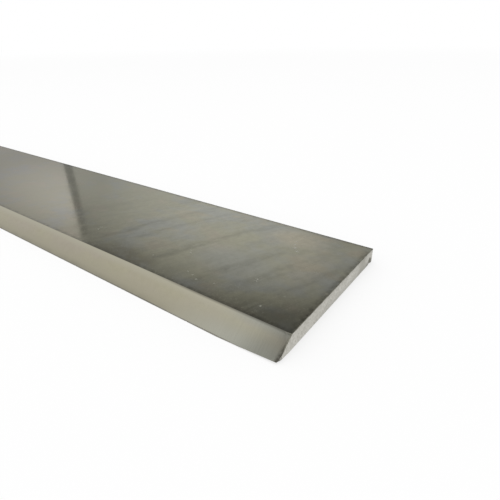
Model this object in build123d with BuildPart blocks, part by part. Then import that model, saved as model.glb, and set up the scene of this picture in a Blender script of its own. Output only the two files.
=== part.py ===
"""Planer knife: a long bar of hardened tool steel with one bevelled cutting edge.

The knife lies on its wide flat face. Millimetres, +Z up. The origin is the middle of that face,
X runs along the knife, Y runs across it from the cutting edge (-Y) to the back (+Y).
"""

import os
from math import radians, tan

from build123d import *

# The bar: length of the knife, width from cutting edge to back, and thickness.
KNIFE_LENGTH = 310.0
KNIFE_WIDTH = 35.0
KNIFE_THICKNESS = 3.0

# The ground edge: the bevel's angle to the wide face, and a narrow honed land below it.
BEVEL_ANGLE = 36.0
HONE_ANGLE = 52.0
HONE_HEIGHT = 0.16

# The two corners of the cutting edge are stoned off: how far along the edge, and across it.
CORNER_EASE_ALONG = 0.5
CORNER_EASE_ACROSS = 1.8

# The burr is taken off the back's long edges, and off the edges of both ends.
BACK_BREAK = 0.25
END_BREAK = 0.15

# One corner of the back is chipped: how far the chip reaches up, across and along from it.
CHIP_HEIGHT = 1.4
CHIP_WIDTH = 1.1
CHIP_LENGTH = 0.6

# Places that follow from the sizes.
edge_y = -KNIFE_WIDTH / 2
back_y = KNIFE_WIDTH / 2
end_x = KNIFE_LENGTH / 2
hone_top_y = edge_y + HONE_HEIGHT / tan(radians(HONE_ANGLE))
ridge_y = hone_top_y + (KNIFE_THICKNESS - HONE_HEIGHT) / tan(radians(BEVEL_ANGLE))

with BuildPart() as planer_knife:
    # Section across the knife: bar stock with the bevel and the honed land ground on it.
    with BuildSketch(Plane.YZ.offset(-end_x)) as section:
        with BuildLine() as section_outline:
            Polyline(
                (edge_y, 0),
                (back_y, 0),
                (back_y, KNIFE_THICKNESS),
                (ridge_y, KNIFE_THICKNESS),
                (hone_top_y, HONE_HEIGHT),
                close=True,
            )
        make_face()
        chamfer(section.vertices().group_by(Axis.X)[-1], length=BACK_BREAK)
    extrude(amount=KNIFE_LENGTH)

    # Outline from above: the cutting edge's corners are eased, and the back's are broken.
    with BuildSketch(Plane.XY) as plan:
        with BuildLine() as plan_outline:
            Polyline(
                (end_x - CORNER_EASE_ALONG, edge_y),
                (end_x, edge_y + CORNER_EASE_ACROSS),
                (end_x, back_y),
                (-end_x, back_y),
                (-end_x, edge_y + CORNER_EASE_ACROSS),
                (-end_x + CORNER_EASE_ALONG, edge_y),
                close=True,
            )
        make_face()
        chamfer(plan.vertices().group_by(Axis.Y)[-1], length=END_BREAK)
    extrude(amount=KNIFE_THICKNESS, mode=Mode.INTERSECT)

    # Outline from the side: the flat faces' end edges are broken.
    with BuildSketch(Plane.XZ.offset(-back_y)) as side:
        with Locations((0, KNIFE_THICKNESS / 2)):
            Rectangle(KNIFE_LENGTH, KNIFE_THICKNESS)
        chamfer(side.vertices(), length=END_BREAK)
    extrude(amount=KNIFE_WIDTH, mode=Mode.INTERSECT)

    # The chip leaves one slanting facet across the corner of the back, end and wide face.
    chip_plane = Plane(
        origin=(end_x, back_y, CHIP_HEIGHT),
        z_dir=(1 / CHIP_LENGTH, 1 / CHIP_WIDTH, -1 / CHIP_HEIGHT),
    )
    split(bisect_by=chip_plane, keep=Keep.BOTTOM)

planer_knife.part.label = "planer_knife"

os.makedirs("parts", exist_ok=True)
export_step(planer_knife.part, "parts/planer_knife.step")
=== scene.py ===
# %% [markdown]
# # A planer knife
#
# A planer knife is a bar of hardened high speed steel. Its two wide faces are ground flat, its ends
# are cut to length and left matt, and one long side is ground to a bevel, which a stone then hones
# to a cutting edge. There is little shape to look at, so the looks are all in the steel: how each
# surface was cut, how sharp its edges are left, and what the polished faces mirror.
#
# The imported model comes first. It is the fixed frame, in metres, and its box gives the main sizes.

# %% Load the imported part
import math

import bmesh
import bpy
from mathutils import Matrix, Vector, noise


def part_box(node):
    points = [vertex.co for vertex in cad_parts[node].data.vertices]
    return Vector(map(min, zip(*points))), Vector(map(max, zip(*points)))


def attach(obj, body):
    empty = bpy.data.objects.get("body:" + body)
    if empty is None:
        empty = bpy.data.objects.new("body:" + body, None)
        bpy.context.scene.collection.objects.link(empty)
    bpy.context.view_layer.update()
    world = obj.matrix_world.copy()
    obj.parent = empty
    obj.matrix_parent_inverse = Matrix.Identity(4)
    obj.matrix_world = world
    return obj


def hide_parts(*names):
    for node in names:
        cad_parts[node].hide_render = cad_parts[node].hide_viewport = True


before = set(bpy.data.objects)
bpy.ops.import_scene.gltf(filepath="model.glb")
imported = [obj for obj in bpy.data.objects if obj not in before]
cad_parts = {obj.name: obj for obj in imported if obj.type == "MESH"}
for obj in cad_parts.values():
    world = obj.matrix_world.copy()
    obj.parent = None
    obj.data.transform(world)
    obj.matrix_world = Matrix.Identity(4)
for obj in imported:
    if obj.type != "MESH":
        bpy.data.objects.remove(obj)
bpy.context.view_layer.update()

MM = 0.001
scene = bpy.context.scene
node_low, node_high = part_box("planer_knife")
LENGTH, WIDTH, THICKNESS = node_high - node_low
END_X = LENGTH / 2
EDGE_Y = -WIDTH / 2
BACK_Y = WIDTH / 2
TOP = THICKNESS / MM  # height of the upper face in millimetres
# The bevel's and the honed land's angles to the wide face, and how high the land reaches.
BEVEL_ANGLE = math.radians(36)
HONE_ANGLE = math.radians(52)
HONE_HEIGHT = 0.16 * MM
# The line where the bevel meets the wide face.
LAND_RUN = HONE_HEIGHT / math.tan(HONE_ANGLE)
RIDGE_Y = EDGE_Y + LAND_RUN + (THICKNESS - HONE_HEIGHT) / math.tan(BEVEL_ANGLE)
print(f"knife {LENGTH / MM:.1f} x {WIDTH / MM:.1f} x {THICKNESS / MM:.1f} mm")

# %% [markdown]
# ## Two helpers
#
# Node trees are long to write by hand, so one small function adds a node, sets its properties and
# fills its inputs, each with a value or with a link from another node. The colours are written as
# sRGB hex values, as they are read off a picture, and one function turns them to the linear light
# that Blender calculates with.


# %% Add a node, read a colour
def add(tree, kind, inputs=(), **settings):
    """A new node. Its inputs come by name, or as a list in order. A node or a socket is linked, and
    anything else is set as a value. An input that takes many links gets a list of them."""
    node = tree.nodes.new(kind)
    for name, value in settings.items():
        setattr(node, name, value)
    for key, value in inputs.items() if isinstance(inputs, dict) else enumerate(inputs):
        shown = [s for s in node.inputs if s.enabled and s.name == key]
        socket = shown[0] if shown else node.inputs[key]
        for one in value if socket.is_multi_input else [value]:
            if isinstance(one, bpy.types.Node):
                one = next(s for s in one.outputs if s.enabled)
            if isinstance(one, bpy.types.NodeSocket):
                tree.links.new(one, socket)
            else:
                socket.default_value = one
    return node


def from_hex(text):
    """Linear RGBA of an sRGB colour such as A5A291."""
    parts = [int(text[i : i + 2], 16) / 255 for i in (0, 2, 4)]
    return [c / 12.92 if c <= 0.04045 else ((c + 0.055) / 1.055) ** 2.4 for c in parts] + [1.0]


# %% [markdown]
# ## Coordinates for the finishes
#
# A pattern on steel has the size of what made it: a grit of the grinding wheel, a tooth of a saw.
# So every finish reads Object coordinates and turns them to millimetres first. The wide faces were
# ground by the face of a cup wheel, whose rim sweeps across the bar in shallow arcs that lean one
# way. Measuring X from such an arc gives a coordinate that stays the same along a grinding mark,
# and a pattern that is stretched along the arcs follows from it.

# %% An empty material, layers of colour, and metal
def new_material(name):
    """An empty material, its node tree, and the Object coordinates, in metres."""
    material = bpy.data.materials.new(name)
    material.use_nodes = True
    tree = material.node_tree
    tree.nodes.clear()
    return material, tree, add(tree, "ShaderNodeTexCoord").outputs["Object"]


def new_finish(name):
    """The same for a finish of the knife, with the coordinates in millimetres."""
    material, tree, place = new_material(name)
    point = add(tree, "ShaderNodeVectorMath", {0: place, "Scale": 1 / MM}, operation="SCALE")
    return material, tree, point


def layered(tree, colour, layers):
    """A colour under its layers: each is how much it covers, from 0 to 1, and its own colour."""
    for cover, above in layers:
        mixed = {"Factor": cover, "A": colour, "B": above}
        colour = add(tree, "ShaderNodeMix", mixed, data_type="RGBA")
    return colour


def show_metal(tree, colour, roughness, relief=None, metallic=1.0):
    """Adds the metal shader. A relief is its pattern of heights, its strength and its depth."""
    looks = {"Base Color": colour, "Roughness": roughness, "Metallic": metallic}
    if relief:
        bump = dict(zip(("Height", "Strength", "Distance"), relief))
        looks["Normal"] = add(tree, "ShaderNodeBump", bump)
    shader = add(tree, "ShaderNodeBsdfPrincipled", looks)
    add(tree, "ShaderNodeOutputMaterial", {"Surface": shader})


# %% Smooth steps
def step(tree, value, low, high, to_low=0.0, to_high=1.0):
    """Goes smoothly from one level, where the value is at low, to another, where it is at high."""
    ends = {"Value": value, "From Min": low, "From Max": high, "To Min": to_low, "To Max": to_high}
    return add(tree, "ShaderNodeMapRange", ends, interpolation_type="SMOOTHSTEP")


def fall_off(tree, value, near, far):
    """One where the value is under near, and zero past far. It is turned round if far is less."""
    return step(tree, value, near, far, 1.0, 0.0)


def band(tree, value, middle, near, far, strength=1.0):
    """The strength where the value is within near of the middle, and zero where it is far off."""
    off = add(tree, "ShaderNodeMath", [value, middle], operation="SUBTRACT")
    off = add(tree, "ShaderNodeMath", [off], operation="ABSOLUTE")
    return step(tree, off, near, far, strength, 0.0)


# %% The arcs of the cup wheel, and grain
# At Y from the middle, an arc has moved along by the first times Y, and the second times Y squared.
ARC_LEAN = 0.43
ARC_CURVE = 0.0033


def along_arcs(tree, point):
    """The same point with its X measured from the grinding arc through the middle of the face."""
    x, y, z = add(tree, "ShaderNodeSeparateXYZ", [point]).outputs
    slope = add(tree, "ShaderNodeMath", [y, ARC_CURVE, ARC_LEAN], operation="MULTIPLY_ADD")
    arc = add(tree, "ShaderNodeMath", [slope, y], operation="MULTIPLY")
    from_arc = add(tree, "ShaderNodeMath", [x, arc], operation="SUBTRACT")
    return add(tree, "ShaderNodeCombineXYZ", [from_arc, y, z])


def grain(tree, point, size, low=0.3, high=0.7, detail=3.0, levels=(0.0, 1.0)):
    """Noise as the first level under low, and the second over high. Its size, in millimetres, is one
    number or one for each axis."""
    sizes = size if isinstance(size, tuple) else (size, size, size)
    scaled = add(tree, "ShaderNodeMapping", {"Vector": point, "Scale": [1 / s for s in sizes]})
    look = {"Vector": scaled, "Scale": 1.0, "Detail": detail, "Roughness": 0.6}
    return step(tree, add(tree, "ShaderNodeTexNoise", look), low, high, *levels)


# %% [markdown]
# ## The wide faces: ground and polished high speed steel
#
# Tungsten and molybdenum make high speed steel a little yellower and darker than plain steel. The
# grinding is so fine that the face mirrors the room, and its marks only show as faint arcs. A film
# of oil was wiped off it, which leaves smears along the wiping and a few specks of dust. A smear
# scatters the mirror image, so it drives the roughness, and where it lies thick it is also darker.
#
# The lines of such grinding are a few hundredths of a millimetre apart, too fine to show. They are
# drawn as coarse as they need to show, here and on the bevel.

# %% Wiping marks
# Each mark: its place along the knife, measured from the arcs, its ends in Y, its width and how
# dark it is, below zero for a line that was wiped cleaner. In millimetres.
WIPING_MARKS = [
    (125.7, -12, 17.5, 1.9, 0.27),
    (126.2, -13, 2, 1.5, 0.14),
    (108.9, -6.5, 16.5, 1.8, 0.15),
    (109.5, -11.5, 5, 1.7, 0.24),
    (138.1, -8, 7, 2, 0.2),
    (138, -12.5, -3, 1.7, 0.24),
    (114.2, -7.5, 13, 1.7, 0.11),
    (114.6, -12, 2, 1.6, 0.17),
    (98.5, -9, 3, 1.6, 0.1),
    (102.6, -11, -3, 1.5, 0.1),
    (131.5, 2, 16, 1.8, 0.09),
    (133.2, -9, 3, 1.5, 0.04),
    (144.2, -11, 13, 1.9, 0.16),
    (150.5, -8, 9, 1.6, 0.16),
    (119, 4, 16, 1.6, 0.06),
    (91.6, -6, 8, 3, 0.2),
    (105.5, -5, 15, 2.4, -0.1),
    (117.3, -10, 0, 1.6, -0.08),
    (142, -9, 5, 1.6, -0.12),
    (147.2, -9, 11, 1.5, -0.14),
]


def wiping_marks(tree, arcs):
    """How much of a wiping mark lies at a point: soft lines that follow the arcs."""
    x, y = add(tree, "ShaderNodeSeparateXYZ", [arcs]).outputs[:2]
    sway = grain(tree, arcs, (30, 5, 30), detail=2.0, levels=(-0.5, 0.5))
    x = add(tree, "ShaderNodeMath", [x, sway], operation="ADD")
    uneven = grain(tree, arcs, (1.3, 3.0, 3.0), 0.2, 0.62)
    total = 0.0
    for at, low, high, width, dark in WIPING_MARKS:
        half = (high - low) / 2
        line = band(tree, x, at, 0.1 * width, width)
        for share in (band(tree, y, low + half, half - 3.0, half), uneven):
            line = add(tree, "ShaderNodeMath", [line, share], operation="MULTIPLY")
        total = add(tree, "ShaderNodeMath", [line, dark, total], operation="MULTIPLY_ADD")
    return total


# %% Dust
# Each speck or smudge: its place on the face, its radius, and how thick it lies. In millimetres.
SPECKS = [
    (142.3, 9, 0.24, 0.75),
    (141.5, 10.2, 0.17, 0.75),
    (141.2, 11.5, 0.12, 0.7),
    (143.3, 8, 0.21, 0.75),
    (142.7, -4.5, 0.13, 0.62),
    (142.9, -5.1, 0.11, 0.6),
    (126.5, -4.1, 0.17, 0.6),
    (125.9, -3.4, 0.11, 0.6),
    (101.5, -6.7, 0.2, 0.52),
    (102.6, -6.3, 0.12, 0.52),
    (101.9, -7.8, 0.1, 0.7),
    (130.9, -9.5, 0.09, 0.6),
    (149.3, -6.2, 0.08, 0.3),
    (111.5, -3.2, 0.1, 0.5),
    (132.4, -9.8, 0.12, 0.5),
    (133.9, -10.6, 0.13, 0.62),
    (137.4, -9.8, 0.08, 0.5),
    (147.5, -10.6, 0.13, 0.46),
    (118.3, 6.6, 0.1, 0.6),
    (121, -8.9, 0.09, 0.6),
    (131, -11.2, 1.8, 0.12),
    (128.5, -7.5, 2.2, 0.07),
]
FINE_DUST = 0.25  # how thick the finest dust lies in between


def dust(tree, point):
    """Where a speck of dust lies on the upper face."""
    ragged = add(tree, "ShaderNodeTexNoise", {"Vector": point, "Scale": 4.0, "Detail": 2.0})
    found = 0.0
    for x, y, radius, thick in SPECKS:
        off = add(tree, "ShaderNodeVectorMath", [point, (x, y, TOP)], operation="DISTANCE")
        off = add(tree, "ShaderNodeMath", [off, radius], operation="SUBTRACT")
        # The noise makes its outline ragged.
        off = add(tree, "ShaderNodeMath", [ragged, -0.7, off], operation="MULTIPLY_ADD")
        here = step(tree, off, -0.42 - 0.5 * radius, -0.12, thick, 0.0)
        found = add(tree, "ShaderNodeMath", [here, found], operation="MAXIMUM")
    fine = grain(tree, point, 0.36, 0.56, 0.74, detail=2.0)
    where = grain(tree, point, (7, 4, 7), 0.36, 0.6, levels=(0.0, FINE_DUST))
    fine = add(tree, "ShaderNodeMath", [fine, where, found], operation="MULTIPLY_ADD")
    return add(tree, "ShaderNodeClamp", [fine])


# %% Dirt along the edges, patches and old oil
def to_end_of(tree, point):
    """How far a point is from the nearer end of the knife, in millimetres."""
    x = add(tree, "ShaderNodeSeparateXYZ", [point]).outputs["X"]
    from_middle = add(tree, "ShaderNodeMath", [x], operation="ABSOLUTE")
    return add(tree, "ShaderNodeMath", [END_X / MM, from_middle], operation="SUBTRACT")


def grime_and_shade(tree, point):
    """Oil, grinding dust and painted shade along a wide face's edges, a millimetre or two in."""
    y = add(tree, "ShaderNodeSeparateXYZ", [point]).outputs["Y"]
    to_back = add(tree, "ShaderNodeMath", [BACK_Y / MM, y], operation="SUBTRACT")
    to_ridge = add(tree, "ShaderNodeMath", [y, RIDGE_Y / MM], operation="SUBTRACT")
    at_end = fall_off(tree, to_end_of(tree, point), 0.0, 1.5)
    # Along the back and beside the ridge it is painted shade as well.
    at_back = fall_off(tree, to_back, 0.3, 1.3)
    at_ridge = step(tree, to_ridge, 0.1, 1.0, 0.7, 0.0)
    near = add(tree, "ShaderNodeMath", [at_end, at_back], operation="MAXIMUM")
    near = add(tree, "ShaderNodeMath", [near, at_ridge], operation="MAXIMUM")
    patchy = grain(tree, point, 0.9, detail=5.0, levels=(0.1, 0.85))
    film = add(tree, "ShaderNodeMath", [near, patchy], operation="MULTIPLY")
    # The thin line of painted shade along the back has no gaps.
    line = step(tree, to_back, 0.3, 0.9, 0.5, 0.0)
    return add(tree, "ShaderNodeMath", [film, line], operation="MAXIMUM")


def patch(tree, point, x, y, reach_x, reach_y, strength=1.0):
    """An oval patch on the upper face: its strength in the middle, and zero just past its reach."""
    off = add(tree, "ShaderNodeVectorMath", [point, (x, y, TOP)], operation="SUBTRACT")
    off = add(tree, "ShaderNodeVectorMath", [off, (reach_x, reach_y, 5.0)], operation="DIVIDE")
    off = add(tree, "ShaderNodeVectorMath", [off], operation="LENGTH")
    return step(tree, off, 0.3, 1.15, strength, 0.0)


def old_oil(tree, point):
    """A film of old oil that dried beside the ridge, thicker here and thinner there."""
    film = patch(tree, point, *OLD_OIL)
    thick = grain(tree, point, (3.0, 2.0, 3.0), 0.25, 0.65, levels=(0.25, 0.75))
    return add(tree, "ShaderNodeMath", [film, thick], operation="MULTIPLY")


# %% Finish of the wide faces
STEEL_OLIVE = from_hex("ABA896")
STEEL_BLUE = from_hex("A7A7A1")
STEEL_WARM = from_hex("AFA898")
STEEL_WARM_SHEEN = from_hex("BCB4A2")
OIL_TONE = from_hex("8B8571")
SPECK_TONE = from_hex("C8C7BC")
MARK_TONE = from_hex("77756A")
# Oil and dust, and painted shade along the back and beside the ridge.
GRIME_AND_SHADE_TONE = from_hex("66645A")
MIRROR_ROUGHNESS = 0.07
SMEARED_ROUGHNESS = 0.17
WIDE_LINES = 0.22  # size of the grinding lines, drawn coarser than the real ones
WIDE_RELIEF = (0.05, 0.01 * MM)  # how strong and how deep they are
STREAK_STRENGTH = 0.1
MOTTLE_STRENGTH = 0.16
SPECK_ROUGHNESS = 0.5  # what a thick speck adds
# Along the knife, the wiping fades out between these two places.
WIPED_FROM = 78.0
WIPED_FULLY = 106.0
OLD_OIL = (116.0, -13.0, 10.5, 5.5)  # its place, and its reach along and across
# Patches painted greyer, or warmer and lighter: tint, place, reach along and across, and strength.
# The lighter patches are a painted reflection.
TINT_PATCHES = [
    (STEEL_BLUE, 136, -2, 11, 6, 0.75),
    (STEEL_WARM_SHEEN, 141, 12.5, 7.5, 4.5, 0.9),
    (STEEL_WARM_SHEEN, 148, 4, 5, 8, 0.45),
]


def ground_face():
    material, tree, point = new_finish("ground_high_speed_steel")
    arcs = along_arcs(tree, point)
    # Only the part near the handled end was wiped, and the rest shows a quarter as much of it.
    x = add(tree, "ShaderNodeSeparateXYZ", [point]).outputs["X"]
    wiping = {"Value": x, "From Min": WIPED_FROM, "From Max": WIPED_FULLY, "To Min": 0.25}
    wiped = add(tree, "ShaderNodeMapRange", wiping)
    streaks = grain(tree, arcs, (1.1, 14, 9), 0.35, 0.75, detail=4.0)
    mottle = grain(tree, point, 1.3, detail=5.0)
    darker = wiping_marks(tree, arcs)
    for pattern, strength in ((streaks, STREAK_STRENGTH), (mottle, MOTTLE_STRENGTH)):
        darker = add(tree, "ShaderNodeMath", [pattern, strength, darker], operation="MULTIPLY_ADD")
    darker = add(tree, "ShaderNodeMath", [darker, wiped], operation="MULTIPLY")
    speck = dust(tree, point)

    layers = [
        (grain(tree, point, (13, 9, 9), 0.42, 0.66), STEEL_BLUE),
        (grain(tree, point, (7, 5, 5), 0.5, 0.72, detail=2.0), STEEL_WARM),
    ]
    # Greyer patches, and lighter ones that are a painted reflection.
    layers += [(patch(tree, point, *place), tone) for tone, *place in TINT_PATCHES]
    layers += [
        (old_oil(tree, point), OIL_TONE),
        (darker, MARK_TONE),
        (grime_and_shade(tree, point), GRIME_AND_SHADE_TONE),
        (speck, SPECK_TONE),
    ]

    smear = grain(tree, arcs, (1.5, 24, 9), 0.5, 0.74)
    cloud = grain(tree, arcs, (8, 16, 9), 0.45, 0.7, detail=5.0)
    film = add(tree, "ShaderNodeMath", [smear, cloud], operation="MAXIMUM")
    film = add(tree, "ShaderNodeMath", [film, wiped], operation="MULTIPLY")
    smeared = {"Value": film, "To Min": MIRROR_ROUGHNESS, "To Max": SMEARED_ROUGHNESS}
    gloss = add(tree, "ShaderNodeMapRange", smeared)
    gloss = add(tree, "ShaderNodeMath", [speck, SPECK_ROUGHNESS, gloss], operation="MULTIPLY_ADD")
    # A thick speck hides the metal, and is as bright as the light that falls on it.
    hidden = {"Value": speck, "From Min": 0.25, "From Max": 0.8, "To Min": 1.0, "To Max": 0.5}
    bare = add(tree, "ShaderNodeMapRange", hidden)
    lines = grain(tree, arcs, (WIDE_LINES, 9, 5))
    show_metal(tree, layered(tree, STEEL_OLIVE, layers), gloss, (lines, *WIDE_RELIEF), bare)
    return material


finishes = {"wide": ground_face()}
print("wide faces:", len(finishes["wide"].node_tree.nodes), "nodes")

# %% [markdown]
# ## The bevel and the honed land
#
# The bevel was ground across the edge, so its marks run up and down the slope. It is a little less
# bright than the wide face. The stone then left a land a fifth of a millimetre wide along the edge,
# duller again, which shows as a thin darker line.

# %% Dirt on the bevel
# Nearer to an end than the first of these the cutting edge is lighter, and past the second darker.
EDGE_LIGHT_REACH = 20.0
EDGE_DARK_FROM = 26.0


def bevel_dirt(tree, point, height, to_end):
    """Dirt in the last millimetre before the end, and a darker line along the cutting edge."""
    # At the end it widens to the worn corner.
    widening = {"Value": height, "From Max": TOP, "To Min": 1.0, "To Max": 0.0}
    spread = add(tree, "ShaderNodeMapRange", widening)
    inside = add(tree, "ShaderNodeMath", [spread, -0.75, to_end], operation="MULTIPLY_ADD")
    uneven = grain(tree, point, 0.6, 0.25, 0.6, detail=4.0, levels=(0.3, 1.0))
    at_end = fall_off(tree, inside, -0.45, 0.35)
    at_end = add(tree, "ShaderNodeMath", [at_end, uneven], operation="MULTIPLY")
    faint = fall_off(tree, to_end, 0.3, 1.6)
    at_end = add(tree, "ShaderNodeMath", [faint, 0.12, at_end], operation="MULTIPLY_ADD")
    # Away from the ends the slope is also darker along the cutting edge.
    along = grain(tree, point, 9, 0.35, 0.65, levels=(0.1, 0.36))
    between = {"Value": to_end, "From Min": EDGE_LIGHT_REACH, "From Max": EDGE_DARK_FROM}
    darker_edge = add(tree, "ShaderNodeMapRange", between)
    for where in (fall_off(tree, height, 0.05, 0.85), darker_edge):
        along = add(tree, "ShaderNodeMath", [along, where], operation="MULTIPLY")
    return add(tree, "ShaderNodeMath", [at_end, along], operation="MAXIMUM")


# %% Finishes of the bevel and the land
BEVEL_TONE = from_hex("A9A591")
BEVEL_WARM_TONE = from_hex("A8A294")
BEVEL_MOTTLE_TONE = from_hex("95917F")
BEVEL_LOW_TONE = from_hex("9F9B8A")
BEVEL_END_TONE = from_hex("AAABA1")
BEVEL_GRIME_TONE = from_hex("605E56")
# The painted highlight along the ridge, and its tone near the ends.
RIDGE_HIGHLIGHT_TONE = from_hex("AEAB9B")
RIDGE_END_HIGHLIGHT_TONE = from_hex("A0A198")
# Painted shade on the ridge near the ends.
RIDGE_SHADE_TONE = from_hex("605E56")
LAND_TONE = from_hex("AFADA3")
LAND_MARK_TONE = from_hex("9B998F")
LAND_DARK_TONE = from_hex("828076")
BEVEL_LINES = 0.18  # size of the grinding lines, drawn coarser than the real ones
BEVEL_RELIEF = (0.06, 0.01 * MM)
BEVEL_ROUGHNESS = {"To Min": 0.1, "To Max": 0.16}  # between the lines, and on them
LAND_ROUGHNESS = 0.25


def ground_bevel():
    material, tree, point = new_finish("ground_bevel_steel")
    height = add(tree, "ShaderNodeSeparateXYZ", [point]).outputs["Z"]
    to_end = to_end_of(tree, point)
    mottle = grain(tree, point, 1.2, detail=5.0, levels=(0.0, 0.2))
    # The slope is darker low down, and the ridge is painted lighter, as a painted highlight.
    low = fall_off(tree, height, 0.3, 2.2)
    ridge_highlight = layered(tree, RIDGE_HIGHLIGHT_TONE, [(fall_off(tree, to_end, 5.0, 14.0), RIDGE_END_HIGHLIGHT_TONE)])
    # Near the end the stone also took the yellow off, most of all low on the slope.
    bare = step(tree, height, 0.3, 2.2, 1.0, 0.3)
    near_end = fall_off(tree, to_end, 4.0, 26.0)
    bare = add(tree, "ShaderNodeMath", [bare, near_end], operation="MULTIPLY")
    # Near the ends the ridge itself is painted dark again, as a painted shadow line.
    below = add(tree, "ShaderNodeMath", [TOP, height], operation="SUBTRACT")
    dull = 0.7
    for where in (fall_off(tree, below, 0.0, 0.28), fall_off(tree, to_end, 17.0, 33.0)):
        dull = add(tree, "ShaderNodeMath", [where, dull], operation="MULTIPLY")
    layers = [
        (grain(tree, point, (11, 5, 5), 0.35, 0.68, detail=2.0), BEVEL_WARM_TONE),
        (mottle, BEVEL_MOTTLE_TONE),
        (low, BEVEL_LOW_TONE),
        (bare, BEVEL_END_TONE),
        # A painted highlight along the ridge.
        (fall_off(tree, height, 2.95, 2.0), ridge_highlight),
        # Painted shade along the ridge near the ends.
        (dull, RIDGE_SHADE_TONE),
        (bevel_dirt(tree, point, height, to_end), BEVEL_GRIME_TONE),
    ]
    lines = grain(tree, point, (BEVEL_LINES, 6, 6))
    gloss = add(tree, "ShaderNodeMapRange", {"Value": lines, **BEVEL_ROUGHNESS})
    show_metal(tree, layered(tree, BEVEL_TONE, layers), gloss, (lines, *BEVEL_RELIEF))
    return material


def honed_land():
    material, tree, point = new_finish("honed_land_steel")
    layers = [
        (grain(tree, point, 0.3), LAND_MARK_TONE),
        (fall_off(tree, to_end_of(tree, point), EDGE_DARK_FROM, EDGE_LIGHT_REACH), LAND_DARK_TONE),
    ]
    show_metal(tree, layered(tree, LAND_TONE, layers), LAND_ROUGHNESS)
    return material


finishes["bevel"] = ground_bevel()
finishes["land"] = honed_land()
print("bevel:", len(finishes["bevel"].node_tree.nodes), "nodes")

# %% [markdown]
# ## The cut ends, the stoned edges and the chip
#
# The ends were cut by an abrasive wheel and never polished, so they scatter light: a pale, even
# grey with a fine speckle of torn grains. The sharp edges all round were broken by hand with a
# stone, and grinding dust and oil sit in its scratches, which draws a thin dark line round each
# face. One corner lost a chip, and broken hard steel is dark and granular.
# Along the back, painted shade darkens that line further.

# %% Finish of the cut ends
END_TONE = from_hex("CDCBC3")
END_GRAIN_TONE = from_hex("B4B2A8")
# Duller from stains, and from painted shade near the back and at the foot.
END_DULL_TONE = from_hex("A3A197")
# Painted shade at the tip of the eased corner.
CORNER_SHADE_TONE = from_hex("68665F")
END_ROUGHNESS = 0.48
END_SPECKLE = 0.3  # size of the torn grains, drawn coarser than the real ones
END_RELIEF = (0.35, 0.02 * MM)
STAIN_STRENGTH = 0.25
RIM_STRENGTH = 0.4
SHADED_STRIP_Y = 12.4  # middle of the strip of painted shade
SHADED_STRIP_STRENGTH = 0.65
BRUISE = (END_X / MM, 15.2, 0.1)  # the bruised place below the chip
BRUISE_STRENGTH = 0.6


def cut_end():
    material, tree, point = new_finish("abrasive_cut_steel")
    across, height = add(tree, "ShaderNodeSeparateXYZ", [point]).outputs[1:]
    # The cut is stained here and there, and near the back a strip is painted duller, as shade.
    shaded_strip = band(tree, across, SHADED_STRIP_Y, 0.5, 2.8, SHADED_STRIP_STRENGTH)
    stain = grain(tree, point, 2.2, 0.35, 0.7)
    dull = add(tree, "ShaderNodeMath", [stain, STAIN_STRENGTH, shaded_strip], operation="MULTIPLY_ADD")
    # The foot of the cut, dirt with painted shade, and its upper rim are darker, but not below the
    # bevel.
    below = add(tree, "ShaderNodeMath", [TOP, height], operation="SUBTRACT")
    rim = fall_off(tree, below, 0.2, 0.9)
    foot = fall_off(tree, height, 0.2, 1.7)
    rims = add(tree, "ShaderNodeMath", [rim, 0.45, foot], operation="MULTIPLY_ADD")
    behind = add(tree, "ShaderNodeMapRange", {"Value": across, "From Min": -8.0, "From Max": -3.0})
    rims = add(tree, "ShaderNodeMath", [rims, behind], operation="MULTIPLY")
    dull = add(tree, "ShaderNodeMath", [rims, RIM_STRENGTH, dull], operation="MULTIPLY_ADD")
    # Below the chip the steel is bruised, and the eased corner is painted dark at its tip, as shade.
    off = add(tree, "ShaderNodeVectorMath", [point, BRUISE], operation="DISTANCE")
    bruise = step(tree, off, 0.2, 1.5, BRUISE_STRENGTH, 0.0)
    tip = fall_off(tree, across, -16.75, -16.2)
    dark = add(tree, "ShaderNodeMath", [bruise, tip], operation="MAXIMUM")
    speckle = grain(tree, point, END_SPECKLE, 0.4, 0.66, detail=2.0)
    layers = [(speckle, END_GRAIN_TONE), (dull, END_DULL_TONE), (dark, CORNER_SHADE_TONE)]
    marks = grain(tree, point, (5, 9, 0.16), 0.35, 0.65)
    torn = add(tree, "ShaderNodeMath", [speckle, marks], operation="ADD")
    show_metal(tree, layered(tree, END_TONE, layers), END_ROUGHNESS, (torn, *END_RELIEF))
    return material


# %% Finishes of the stoned edges and the chip
ARRIS_TONE = from_hex("605E55")
WORN_ARRIS_TONE = from_hex("858377")
# Dirt, and painted shade, along the back edge.
BACK_ARRIS_SHADE_TONE = from_hex("3F3D36")
BEVEL_ARRIS_TONE = from_hex("979588")
FRACTURE_TONE = from_hex("7B7970")
FRACTURE_GRAIN_TONE = from_hex("95938A")
ARRIS_ROUGHNESS = 0.35
FRACTURE_ROUGHNESS = 0.5
FRACTURE_GRAIN = 0.09  # size of the grains of the break, drawn coarser than the real ones
FRACTURE_RELIEF = (0.6, 0.03 * MM)


def stoned_edge():
    material, tree, point = new_finish("stoned_edge_steel")
    across = add(tree, "ShaderNodeSeparateXYZ", [point]).outputs["Y"]
    # Dirt and painted shade darken the back most, and the stone left the bevel's own edges cleaner.
    layers = [
        (grain(tree, point, 1.4, 0.35, 0.6, detail=4.0), WORN_ARRIS_TONE),
        (fall_off(tree, across, 17.1, 16.0), BACK_ARRIS_SHADE_TONE),
        (fall_off(tree, across, -13.9, -13.6), BEVEL_ARRIS_TONE),
        # At the corner by the cutting edge the strip is painted dark, as shade.
        (fall_off(tree, across, -15.9, -14.9), CORNER_SHADE_TONE),
    ]
    show_metal(tree, layered(tree, ARRIS_TONE, layers), ARRIS_ROUGHNESS)
    return material


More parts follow.
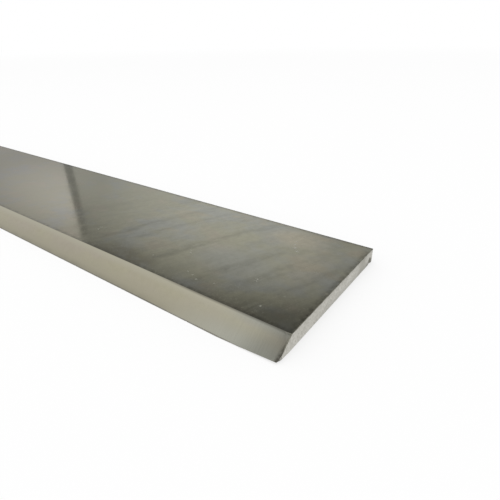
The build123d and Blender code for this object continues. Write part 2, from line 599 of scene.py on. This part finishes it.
def broken_steel():
    material, tree, point = new_finish("fractured_tool_steel")
    grains = grain(tree, point, FRACTURE_GRAIN)
    colour = layered(tree, FRACTURE_TONE, [(grains, FRACTURE_GRAIN_TONE)])
    show_metal(tree, colour, FRACTURE_ROUGHNESS, (grains, *FRACTURE_RELIEF))
    return material


finishes["end"] = cut_end()
finishes["arris"] = stoned_edge()
finishes["fracture"] = broken_steel()
print("finishes:", ", ".join(m.name for m in finishes.values()))

# %% [markdown]
# ## The blank, by Geometry Nodes
#
# The knife follows a rule: one section along its whole length, trimmed to one outline from above.
# Both are written as a few corners that follow from named sizes, each is drawn out to a prism, and
# the knife is what the two prisms have in common. A change of a size in the node group then
# changes the knife, as it does on a toolmaker's drawing.

# %% Sizes of the blank
BLANK_SIZES = {
    "Length": LENGTH,
    "Width": WIDTH,
    "Thickness": THICKNESS,
    "Bevel Angle": BEVEL_ANGLE,
    "Hone Angle": HONE_ANGLE,
    "Hone Height": HONE_HEIGHT,
    "Corner Along": 0.36 * MM,
    "Corner Across": 1.3 * MM,
}
SPARE = 5 * MM  # how far each prism reaches past the other, so that no two faces coincide
TOUCHING = 0.0001 * MM  # points nearer than this are one


# %% A node group, and a prism in it
def new_group(name, inputs, output):
    """A Geometry Nodes group with its sockets, and its inputs as seen inside it."""
    tree = bpy.data.node_groups.new(name, "GeometryNodeTree")
    for label, kind in inputs.items():
        tree.interface.new_socket(name=label, in_out="INPUT", socket_type="NodeSocket" + kind)
    tree.interface.new_socket(name=output, in_out="OUTPUT", socket_type="NodeSocketGeometry")
    return tree, add(tree, "NodeGroupInput").outputs


def prism(tree, corners, depth):
    """A closed prism: the outline through the corners, drawn out by the depth vector."""
    disc = add(tree, "GeometryNodeMeshCircle", {"Vertices": len(corners)}, fill_type="NGON")
    place = add(tree, "GeometryNodeIndexSwitch", data_type="VECTOR")
    while len(place.index_switch_items) < len(corners):
        place.index_switch_items.new()
    tree.links.new(add(tree, "GeometryNodeInputIndex").outputs[0], place.inputs["Index"])
    for i, corner in enumerate(corners):
        tree.links.new(corner.outputs[0], place.inputs[1 + i])
    outline = add(tree, "GeometryNodeSetPosition", {"Geometry": disc, "Position": place})
    drawn_out = {"Mesh": outline, "Offset": depth, "Offset Scale": 1.0}
    walls = add(tree, "GeometryNodeExtrudeMesh", drawn_out)
    base = add(tree, "GeometryNodeFlipFaces", {"Mesh": outline})
    both = add(tree, "GeometryNodeJoinGeometry", [[base, walls]])
    return add(tree, "GeometryNodeMergeByDistance", {"Geometry": both, "Distance": TOUCHING})


# %% Node group of the blank
def blank_tree():
    sockets = {**dict.fromkeys(BLANK_SIZES, "Float"), "Steel": "Material"}
    tree, size = new_group("knife_blank", sockets, "Knife")

    def sum_of(*terms):
        """The sum of number-and-socket products, such as half the width and a spare reach."""
        total = 0.0
        for factor, value in terms:
            total = add(tree, "ShaderNodeMath", [value, factor, total], operation="MULTIPLY_ADD")
        return total

    def run(height, angle):
        """How far a slope at this angle goes to reach this height."""
        tangent = add(tree, "ShaderNodeMath", [size[angle]], operation="TANGENT")
        return add(tree, "ShaderNodeMath", [height, tangent], operation="DIVIDE")

    def corner(x=0.0, y=0.0, z=0.0):
        return add(tree, "ShaderNodeCombineXYZ", [x, y, z])

    edge_y = sum_of((-0.5, size["Width"]))
    land_y = sum_of((1, edge_y), (1, run(size["Hone Height"], "Hone Angle")))
    slope_height = sum_of((1, size["Thickness"]), (-1, size["Hone Height"]))
    ridge_y = sum_of((1, land_y), (1, run(slope_height, "Bevel Angle")))
    back_y = sum_of((0.5, size["Width"]))
    start_x = sum_of((-0.5, size["Length"]), (-1, SPARE))
    outline = [
        (edge_y, 0.0),
        (back_y, 0.0),
        (back_y, size["Thickness"]),
        (ridge_y, size["Thickness"]),
        (land_y, size["Hone Height"]),
    ]
    along = corner(x=sum_of((1, size["Length"]), (2, SPARE)))
    section = prism(tree, [corner(start_x, y, z) for y, z in outline], along)

    # Past the cutting edge, the line of each eased corner goes on until it is clear of the section.
    ease = [size["Corner Along"], size["Corner Across"]]
    ease_slope = add(tree, "ShaderNodeMath", ease, operation="DIVIDE")
    end_x = sum_of((0.5, size["Length"]))
    far_x = sum_of((-1, end_x))
    eased_x = sum_of((1, end_x), (-1, size["Corner Along"]), (-SPARE, ease_slope))
    eased_y = sum_of((1, edge_y), (1, size["Corner Across"]))
    front_y = sum_of((1, edge_y), (-1, SPARE))
    behind_y = sum_of((1, back_y), (1, SPARE))
    outline = [
        (eased_x, front_y),
        (end_x, eased_y),
        (end_x, behind_y),
        (far_x, behind_y),
        (far_x, eased_y),
        (sum_of((-1, eased_x)), front_y),
    ]
    up = corner(z=sum_of((1, size["Thickness"]), (2, SPARE)))
    plan = prism(tree, [corner(x, y, -SPARE) for x, y in outline], up)
    prisms = {"Mesh 2": [section, plan]}
    both = add(tree, "GeometryNodeMeshBoolean", prisms, operation="INTERSECT", solver="EXACT")
    real = add(tree, "GeometryNodeRealizeInstances", [both])
    done = add(tree, "GeometryNodeSetMaterial", {"Geometry": real, "Material": size["Steel"]})
    add(tree, "NodeGroupOutput", [done])
    return tree


# %% Run a node group, and keep what it makes
def run_nodes(piece, tree, values):
    """The mesh that a node group makes of a piece, with its inputs set by their identifiers."""
    modifier = piece.modifiers.new(tree.name, "NODES")
    modifier.node_group = tree
    for socket in tree.interface.items_tree:
        if socket.in_out == "INPUT" and socket.name in values:
            modifier[socket.identifier] = values[socket.name]
    freeze(piece)


def freeze(piece):
    """The piece's modifiers become its mesh."""
    graph = bpy.context.evaluated_depsgraph_get()
    mesh = bpy.data.meshes.new_from_object(piece.evaluated_get(graph))
    piece.modifiers.clear()
    piece.data = mesh


# %% Make the blank
knife = bpy.data.objects.new("planer_knife_body", bpy.data.meshes.new("planer_knife_body"))
scene.collection.objects.link(knife)
run_nodes(knife, blank_tree(), {**BLANK_SIZES, "Steel": finishes["wide"]})
print("blank:", len(knife.data.vertices), "corners,", len(knife.data.polygons), "faces")

# %% [markdown]
# ## The surfaces and the broken edges
#
# Each flat takes its finish from the way it faces. A hardened edge is never left razor sharp where
# it doesn't cut: a stone is drawn along it by hand. So each edge gets a bevel of its own width,
# from a quarter of a millimetre on the back to almost nothing at the cutting edge. A Bevel modifier
# does it, with the widths written as edge weights. The long edges are first divided into short
# steps, because the next cell wears them. Before that, one slanting cut from below lifts the last
# centimetre of the cutting edge, where the stone tipped over the corner as it took the burr off.

# %% Name each flat, and give each edge its width
EDGE_STEP = 0.45 * MM
BACK_BREAK = 0.25
# How wide the stone breaks the edge between each two flats, in millimetres.
EDGE_BREAKS = {
    "back wide": BACK_BREAK,
    "back seat": BACK_BREAK,
    "end wide": 0.08,
    "end seat": 0.14,
    "back end": 0.14,
    "bevel end": 0.1,
    "corner end": 0.05,
    "bevel corner": 0.06,
    "corner seat": 0.03,
    "corner land": 0.03,
    "bevel wide": 0.05,
    "bevel land": 0.03,
    "land seat": 0.012,
    "bevel seat": 0.012,
    "seat seat": 0.0,
}
# The tipped stone's cut: where it starts on the edge, how high it comes at the end of the knife, and
# how far in from the edge it reaches there.
TIP_CUT_START = 11 * MM
TIP_CUT_HEIGHT = 0.32 * MM
TIP_CUT_REACH = 3.2 * MM
# The flats that look like another one. Each other flat has a finish of its own.
LOOKS_LIKE = {"seat": "wide", "back": "wide", "corner": "end"}
slots = list(finishes)


def flat_of(face):
    """Which flat of the knife a face of the blank is, by the way that it faces."""
    n = face.normal
    if abs(n.x) > 0.5:
        return "end" if abs(n.x) > 0.99 else "corner"
    if abs(n.z) > 0.9:
        return "wide" if n.z > 0 else "seat"
    if n.y > 0.9:
        return "back"
    return "bevel" if n.z > 0.7 else "land"


def divide(edge, length):
    """Cuts an edge into equal pieces of about this length."""
    start = edge.verts[0]
    for left in range(max(1, round(edge.calc_length() / length)), 1, -1):
        start = bmesh.utils.edge_split(edge, start, 1 / left)[1]


def cut_tip(shape):
    """Takes the underside off the near corner of the cutting edge, by one slanting plane."""
    start = Vector((END_X - TIP_CUT_START, EDGE_Y, 0.0))
    run = TIP_CUT_HEIGHT / math.tan(BEVEL_ANGLE)
    lifted = Vector((END_X, EDGE_Y + run, TIP_CUT_HEIGHT))
    inner = Vector((END_X, EDGE_Y + TIP_CUT_REACH, 0.0))
    down = (inner - start).cross(lifted - start)
    parts = shape.verts[:] + shape.edges[:] + shape.faces[:]
    cut = bmesh.ops.bisect_plane(shape, geom=parts, plane_co=start, plane_no=down, clear_outer=True)
    rim = [part for part in cut["geom_cut"] if isinstance(part, bmesh.types.BMEdge)]
    bmesh.ops.edgeloop_fill(shape, edges=rim)
    bmesh.ops.recalc_face_normals(shape, faces=shape.faces)


# %% Break the edges
knife.data.materials.clear()
for finish in finishes.values():
    knife.data.materials.append(finish)
shape = bmesh.new()
shape.from_mesh(knife.data)
cut_tip(shape)
for face in shape.faces:
    flat = flat_of(face)
    face.material_index = slots.index(LOOKS_LIKE.get(flat, flat))
for edge in list(shape.edges):
    divide(edge, EDGE_STEP)
weight = shape.edges.layers.float.new("bevel_weight_edge")
for edge in shape.edges:
    pair = " ".join(sorted(flat_of(face) for face in edge.link_faces))
    edge[weight] = EDGE_BREAKS[pair] / BACK_BREAK
shape.to_mesh(knife.data)
shape.free()
stone = knife.modifiers.new("stone", "BEVEL")
stone.limit_method = "WEIGHT"
stone.width = BACK_BREAK * MM
stone.segments = 4
stone.use_clamp_overlap = False
stone.material = slots.index("arris")
freeze(knife)
print("edges broken:", len(knife.data.polygons), "faces")

# %% [markdown]
# ## Wear on the edges
#
# A stone held by hand takes a little more here and a little less there, so no worn edge is a ruled
# line. Each corner point on the rim of a flat slides in that flat, away from the edge, by a noise
# that changes along the knife. The flats stay perfectly flat, as their mirror needs, and only the
# narrow strips between them get wider and narrower.

# %% Wear the edges
WEAR = 0.05 * MM
WEAR_LENGTH = 1.1 * MM
# The cutting edge and the ridge, and the ends of the narrow strips, wear less than the rest.
EDGE_SHARE = 0.35
STRIP_SHARE = 0.3
shape = bmesh.new()
shape.from_mesh(knife.data)
arris = slots.index("arris")
moves = {}
for vert in shape.verts:
    flats = [f for f in vert.link_faces if f.material_index != arris]
    strips = [f.normal for f in vert.link_faces if f.material_index == arris]
    if not strips or len(flats) > 1:
        continue
    out = sum(strips, Vector()).normalized()
    if flats:
        n = flats[0].normal
        out = (out - out.dot(n) * n).normalized()
    amount = 0.5 + 0.5 * noise.fractal(vert.co / WEAR_LENGTH, 0.8, 2.0, 3)
    on_edge = abs(vert.co.y - EDGE_Y) < 0.3 * MM or abs(vert.co.y - RIDGE_Y) < 0.2 * MM
    amount = min(max(amount, 0.0), 1.0)
    amount *= EDGE_SHARE if on_edge else 1.0
    amount *= 1.0 if flats else STRIP_SHARE
    moves[vert] = -out * WEAR * amount
for vert, move in moves.items():
    vert.co += move
# Away from the ends, the strip on the ridge looks like the bevel, and the one below like the land.
for face in shape.faces:
    middle = face.calc_center_median()
    if face.material_index == arris and abs(middle.x) < END_X - 0.3 * MM:
        if abs(middle.y - RIDGE_Y) < 0.3 * MM and middle.z > 2.8 * MM:
            face.material_index = slots.index("bevel")
        elif middle.y < EDGE_Y + 0.4 * MM:
            face.material_index = slots.index("land")
shape.to_mesh(knife.data)
shape.free()
print("points worn:", len(moves))

# %% [markdown]
# ## The chip and the nicks
#
# Hard steel breaks rather than bends. The lower corner of the back lost a chip, and such a break is
# a scoop with an uneven bottom, so a dented ball is cut out of the corner. The cutting edge has a
# few nicks, each a fraction of a millimetre. They repeat, so Geometry Nodes scatter small balls
# along the edge, with a fixed seed, and cut them all out at once.

# %% Node group of the chip and the nicks
CHIP_SIZES = {
    "Chip Reach": Vector((0.38, 0.85, 1.3)) * MM,
    "Chip Turn": Vector((math.radians(20), 0.0, 0.0)),
    "Chip Place": Vector((END_X + 0.1 * MM, BACK_Y - 1.25 * MM, 0.55 * MM)),
    "Nicks": 26,
    "Nick Start": Vector((-END_X + 4 * MM, EDGE_Y, 0.0)),
    "Nick End": Vector((END_X - 4 * MM, EDGE_Y, 0.02 * MM)),
    "Smallest Nick": Vector((0.06, 0.03, 0.06)) * MM,
    "Largest Nick": Vector((0.2, 0.09, 0.12)) * MM,
    "Seed": 7,
}


def chip_tree():
    sockets = {"Knife": "Geometry"}
    for name, value in CHIP_SIZES.items():
        sockets[name] = "Vector" if isinstance(value, Vector) else "Int"
    sockets["Broken Steel"] = "Material"
    tree, size = new_group("knife_chips", sockets, "Chipped Knife")

    ball = add(tree, "GeometryNodeMeshIcoSphere", {"Radius": 1.0, "Subdivisions": 4})
    dents = add(tree, "ShaderNodeTexNoise", {"Scale": 1.6, "Detail": 3.0})
    depth = add(tree, "ShaderNodeMapRange", {"Value": dents, "To Min": -0.35, "To Max": 0.1})
    facing = add(tree, "GeometryNodeInputNormal")
    dent = add(tree, "ShaderNodeVectorMath", {0: facing, "Scale": depth}, operation="SCALE")
    dented = add(tree, "GeometryNodeSetPosition", {"Geometry": ball, "Offset": dent})
    turned = {"Geometry": dented, "Rotation": size["Chip Turn"], "Scale": size["Chip Reach"]}
    chip = add(tree, "GeometryNodeTransform", {**turned, "Translation": size["Chip Place"]})

    drawn = []
    for least, most in (("Nick Start", "Nick End"), ("Smallest Nick", "Largest Nick")):
        ends = {"Min": size[least], "Max": size[most], "Seed": size["Seed"]}
        drawn.append(add(tree, "FunctionNodeRandomValue", ends, data_type="FLOAT_VECTOR"))
    place, bite = drawn
    spots = add(tree, "GeometryNodePoints", {"Count": size["Nicks"], "Position": place})
    grit = add(tree, "GeometryNodeMeshIcoSphere", {"Radius": 1.0, "Subdivisions": 2})
    strewn = {"Points": spots, "Instance": grit, "Scale": bite}
    nicks = add(tree, "GeometryNodeInstanceOnPoints", strewn)
    real = add(tree, "GeometryNodeRealizeInstances", [nicks])
    cutters = add(tree, "GeometryNodeJoinGeometry", [[chip, real]])
    shown = {"Geometry": cutters, "Material": size["Broken Steel"]}
    broken = add(tree, "GeometryNodeSetMaterial", shown)
    meshes = {"Mesh 1": size["Knife"], "Mesh 2": [broken]}
    cut = add(tree, "GeometryNodeMeshBoolean", meshes, operation="DIFFERENCE", solver="EXACT")
    add(tree, "NodeGroupOutput", [cut])
    return tree


# %% Chip and nick the knife
FINEST = 0.001 * MM
run_nodes(knife, chip_tree(), {**CHIP_SIZES, "Broken Steel": finishes["fracture"]})
# Where two cuts meet they leave points a few nanometres apart. A file that stores fewer digits
# would tear the mesh there, so such points are merged first, and the large faces get triangles.
shape = bmesh.new()
shape.from_mesh(knife.data)
bmesh.ops.remove_doubles(shape, verts=shape.verts, dist=FINEST)
bmesh.ops.dissolve_degenerate(shape, edges=shape.edges, dist=FINEST)
large = [face for face in shape.faces if len(face.verts) > 4]
bmesh.ops.triangulate(shape, faces=large, ngon_method="BEAUTY")
print("open edges:", sum(not edge.is_manifold for edge in shape.edges))
shape.to_mesh(knife.data)
shape.free()
knife.data.set_sharp_from_angle(angle=math.radians(40))
for face in knife.data.polygons:
    face.use_smooth = True
even = knife.modifiers.new("even", "WEIGHTED_NORMAL")
even.keep_sharp = True
even.weight = 100
freeze(knife)
knife.data.name = "planer_knife_body"
print("knife:", len(knife.data.vertices), "points,", len(knife.data.polygons), "faces")
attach(knife, "root")
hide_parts("planer_knife")

# %% [markdown]
# ## The camera
#
# The picture was taken from very near, a hand's breadth from the end of the knife, which is why the
# bar tapers so strongly. The camera's place, turn and lens were fitted to the edges and corners of
# the knife in the photograph.

# %% Camera
CAMERA_PLACE = Vector((176.58, -51.97, 40.47)) * MM
CAMERA_TURN = (61.462, 1.022, 36.146)  # in degrees
LENS = 28.69  # in millimetres, on a sensor that is 36 wide

camera_data = bpy.data.cameras.new("camera")
camera_data.lens = LENS
camera_data.sensor_width = 36.0
camera_data.clip_start = 1 * MM
camera_data.clip_end = 20.0
camera = bpy.data.objects.new("camera", camera_data)
camera.location = CAMERA_PLACE
camera.rotation_euler = [math.radians(a) for a in CAMERA_TURN]
scene.collection.objects.link(camera)
scene.camera = camera
print("camera", [round(c / MM, 1) for c in CAMERA_PLACE], "mm, lens", LENS, "mm")

# %% [markdown]
# ## The table, the tent and the lamp
#
# A mirror has no brightness of its own, so what stands round the knife makes its look. It lies on
# a plain white table under an even white sky. A light tent stands round it that only reflections
# see: a white card at its left, and behind the knife a grey card whose straight edge is the line
# across the wide face, brightest at its middle and fading upwards.

# %% Table
TABLE_REACH = 6.0
TABLE_DROP = 0.01 * MM
# From the middle of the table, the shadow is whole up to the first and gone past the second.
SHADOW_REACH = 0.17
SHADOW_END = 1.4
PLAIN_SHARE = 0.66  # how much of the table is plain white there, and takes no shadow
TABLE_TONE = (0.97, 0.97, 0.97, 1.0)


def stage_mesh(name, points, faces, material):
    """A mesh of the stage, which isn't part of the knife."""
    mesh = bpy.data.meshes.new(name)
    mesh.from_pydata(points, [], faces)
    mesh.materials.append(material)
    piece = bpy.data.objects.new(name, mesh)
    scene.collection.objects.link(piece)


def table_top():
    """White card. Near the knife a third of it keeps the shadow, and the rest is plain white."""
    material, tree, place = new_material("white_card")
    off = add(tree, "ShaderNodeVectorMath", [place], operation="LENGTH")
    far = step(tree, off, SHADOW_REACH, SHADOW_END, PLAIN_SHARE)
    rays = add(tree, "ShaderNodeLightPath").outputs
    white = add(tree, "ShaderNodeMath", [rays["Is Camera Ray"], far], operation="MULTIPLY")
    for kind in ("Is Glossy Ray", "Is Transmission Ray"):
        white = add(tree, "ShaderNodeMath", [white, rays[kind]], operation="ADD")
    matt = add(tree, "ShaderNodeBsdfDiffuse", {"Color": TABLE_TONE})
    lit = add(tree, "ShaderNodeEmission", {"Strength": 1.0})
    both = add(tree, "ShaderNodeMixShader", [white, matt, lit])
    add(tree, "ShaderNodeOutputMaterial", {"Surface": both})
    return material


table_corners = [
    (x * TABLE_REACH, y * TABLE_REACH, -TABLE_DROP) for x, y in ((-1, -1), (1, -1), (1, 1), (-1, 1))
]
stage_mesh("table", table_corners, [(0, 1, 2, 3)], table_top())
print("table:", 2 * TABLE_REACH, "m square")

# %% Tent
TENT_RADIUS = 4.0
TENT_RINGS = 24
TENT_CENTRE = Vector((0.11, 0.0, 0.0))
CARD_EDGE = 62.1  # bearing of the grey card's straight edge, in degrees from +Y towards -X
EDGE_STRIP = 1.0  # width of the dark strip along that edge, in degrees
# The light's colour left of that edge, and right of it.
LEFT_TINT = (1.0, 0.99, 0.975, 1.0)
RIGHT_TINT = (0.985, 1.0, 0.97, 1.0)
# Each card is brightest at its middle (bearing and height) and fades to its least over so many
# degrees. Its bright part leans, as a patch of light from a window does.
GREY_CARD = {"peak": 0.78, "middle": (38.5, 23.6), "fade": (37.1, 17.5), "lean": 0.185, "least": 0.18}
LOW_PATCH = {"peak": 0.5, "middle": (60.0, 17.3), "fade": (60.0, 14.0), "lean": 0.55, "least": 0.0}
PALE_CARD = {"peak": 0.82, "middle": (55.0, 22.0), "fade": (27.8, 11.4), "lean": 0.37, "least": 0.45}
# Each change of tone: between which bearings, or heights overhead, and from which tone to which.
CLOTH_STARTS = (76.0, 96.0)
CLOTH_BRIGHTENS = (98.0, 128.0, 0.9, 1.0)
CLOTH_ENDS = (133.0, 138.5, 1.0, 0.52)
WALL_BRIGHTENS = (143.0, 156.0, 0.0, 0.12)
DIM_CLOTH = (-60.0, -10.0, 0.5, 0.85)
CARD_STARTS = (5.0, 22.0)
OVERHEAD_STARTS = (60.0, 75.0)
OVERHEAD_TONE = 0.85
STRIP_TONE = 0.28


def tent_cloth():
    """The tent's tone by bearing and height above the table, both in degrees."""
    material, tree, place = new_material("tent_cloth")
    material.cycles.emission_sampling = "NONE"
    away = add(tree, "ShaderNodeVectorMath", [place, TENT_CENTRE], operation="SUBTRACT")
    unit = add(tree, "ShaderNodeVectorMath", [away], operation="NORMALIZE")
    x, y, z = add(tree, "ShaderNodeSeparateXYZ", [unit]).outputs
    left = add(tree, "ShaderNodeMath", [x, -1.0], operation="MULTIPLY")
    turn = add(tree, "ShaderNodeMath", [left, y], operation="ARCTAN2")
    bearing = add(tree, "ShaderNodeMath", [turn], operation="DEGREES")
    rise = add(tree, "ShaderNodeMath", [z], operation="ARCSINE")
    height = add(tree, "ShaderNodeMath", [rise], operation="DEGREES")

    def card_tone(peak, middle, fade, lean, least):
        aside = add(tree, "ShaderNodeMath", [bearing, middle[0]], operation="SUBTRACT")
        above = add(tree, "ShaderNodeMath", [height, middle[1]], operation="SUBTRACT")
        above = add(tree, "ShaderNodeMath", [aside, lean, above], operation="MULTIPLY_ADD")
        tone = peak
        for off, reach in ((aside, fade[0]), (above, fade[1])):
            share = add(tree, "ShaderNodeMath", [off, reach], operation="DIVIDE")
            share = add(tree, "ShaderNodeMath", [share, share], operation="MULTIPLY")
            tone = add(tree, "ShaderNodeMath", [tone, share], operation="SUBTRACT")
        return add(tree, "ShaderNodeMath", [tone, least], operation="MAXIMUM")

    def blend(share, below, above):
        mixed = {"Factor": share, "A": below, "B": above}
        return add(tree, "ShaderNodeMix", mixed, data_type="FLOAT")

    # At the left, the pale card goes over into white cloth, which ends in a darker wall.
    pale = card_tone(**PALE_CARD)
    cloth = step(tree, bearing, *CLOTH_ENDS)
    rising = step(tree, bearing, *CLOTH_BRIGHTENS)
    wall = step(tree, bearing, *WALL_BRIGHTENS)
    white = add(tree, "ShaderNodeMath", [cloth, rising, wall], operation="MULTIPLY_ADD")
    left_side = blend(step(tree, bearing, *CLOTH_STARTS), pale, white)
    # At the right, the grey card fades into dim cloth, as it does into the cloth overhead.
    cards = [card_tone(**GREY_CARD), card_tone(**LOW_PATCH)]
    grey = add(tree, "ShaderNodeMath", cards, operation="MAXIMUM")
    strip_start = CARD_EDGE - EDGE_STRIP
    strip = add(tree, "ShaderNodeMath", [bearing, strip_start], operation="GREATER_THAN")
    dark = add(tree, "ShaderNodeMath", [grey, STRIP_TONE], operation="MINIMUM")
    grey = blend(strip, grey, dark)
    dim = step(tree, bearing, *DIM_CLOTH)
    right_side = blend(step(tree, bearing, *CARD_STARTS), dim, grey)
    before_edge = add(tree, "ShaderNodeMath", [bearing, CARD_EDGE], operation="LESS_THAN")
    around = blend(before_edge, left_side, right_side)
    tone = blend(step(tree, height, *OVERHEAD_STARTS), around, OVERHEAD_TONE)
    colour = layered(tree, LEFT_TINT, [(before_edge, RIGHT_TINT)])
    lit = add(tree, "ShaderNodeEmission", {"Color": colour, "Strength": tone})
    add(tree, "ShaderNodeOutputMaterial", {"Surface": lit})
    return material


shape = bmesh.new()
bmesh.ops.create_uvsphere(shape, u_segments=2 * TENT_RINGS, v_segments=TENT_RINGS, radius=TENT_RADIUS)
bmesh.ops.translate(shape, verts=shape.verts, vec=TENT_CENTRE)
tent_mesh = bpy.data.meshes.new("tent")
shape.to_mesh(tent_mesh)
shape.free()
tent_mesh.materials.append(tent_cloth())
tent = bpy.data.objects.new("tent", tent_mesh)
tent.visible_camera = False
tent.visible_diffuse = False
tent.visible_shadow = False
tent.visible_transmission = False
scene.collection.objects.link(tent)
print("tent:", TENT_RADIUS, "m from its centre")

# %% Sky and lamp
SKY_LIGHT = 0.88  # how brightly the sky lights. What looks at it sees plain white.
LAMP_PLACE = Vector((0.1, -0.1, 1.1))
LAMP_SIZE = 0.6
LAMP_RADIANCE = 1.6  # how bright it looks, from which its power follows


def sky():
    world = bpy.data.worlds.new("white_sky")
    world.use_nodes = True
    tree = world.node_tree
    tree.nodes.clear()
    path = add(tree, "ShaderNodeLightPath")
    seen = path.outputs["Is Camera Ray"]
    for kind in ("Is Glossy Ray", "Is Transmission Ray"):
        seen = add(tree, "ShaderNodeMath", [seen, path.outputs[kind]], operation="ADD")
    strength = add(tree, "ShaderNodeMapRange", {"Value": seen, "To Min": SKY_LIGHT, "To Max": 1.0})
    lit = add(tree, "ShaderNodeBackground", {"Color": (1.0, 1.0, 1.0, 1.0), "Strength": strength})
    add(tree, "ShaderNodeOutputWorld", {"Surface": lit})
    return world


scene.world = sky()
scene.view_settings.view_transform = "Standard"
lamp_data = bpy.data.lights.new("overhead_softbox", "AREA")
lamp_data.shape = "SQUARE"
lamp_data.size = LAMP_SIZE
lamp_data.energy = LAMP_RADIANCE * math.pi * LAMP_SIZE**2
lamp = bpy.data.objects.new("overhead_softbox", lamp_data)
lamp.location = LAMP_PLACE
lamp.rotation_euler = (-LAMP_PLACE).to_track_quat("-Z", "Y").to_euler()
scene.collection.objects.link(lamp)
print("lamp:", round(lamp_data.energy, 2), "W")
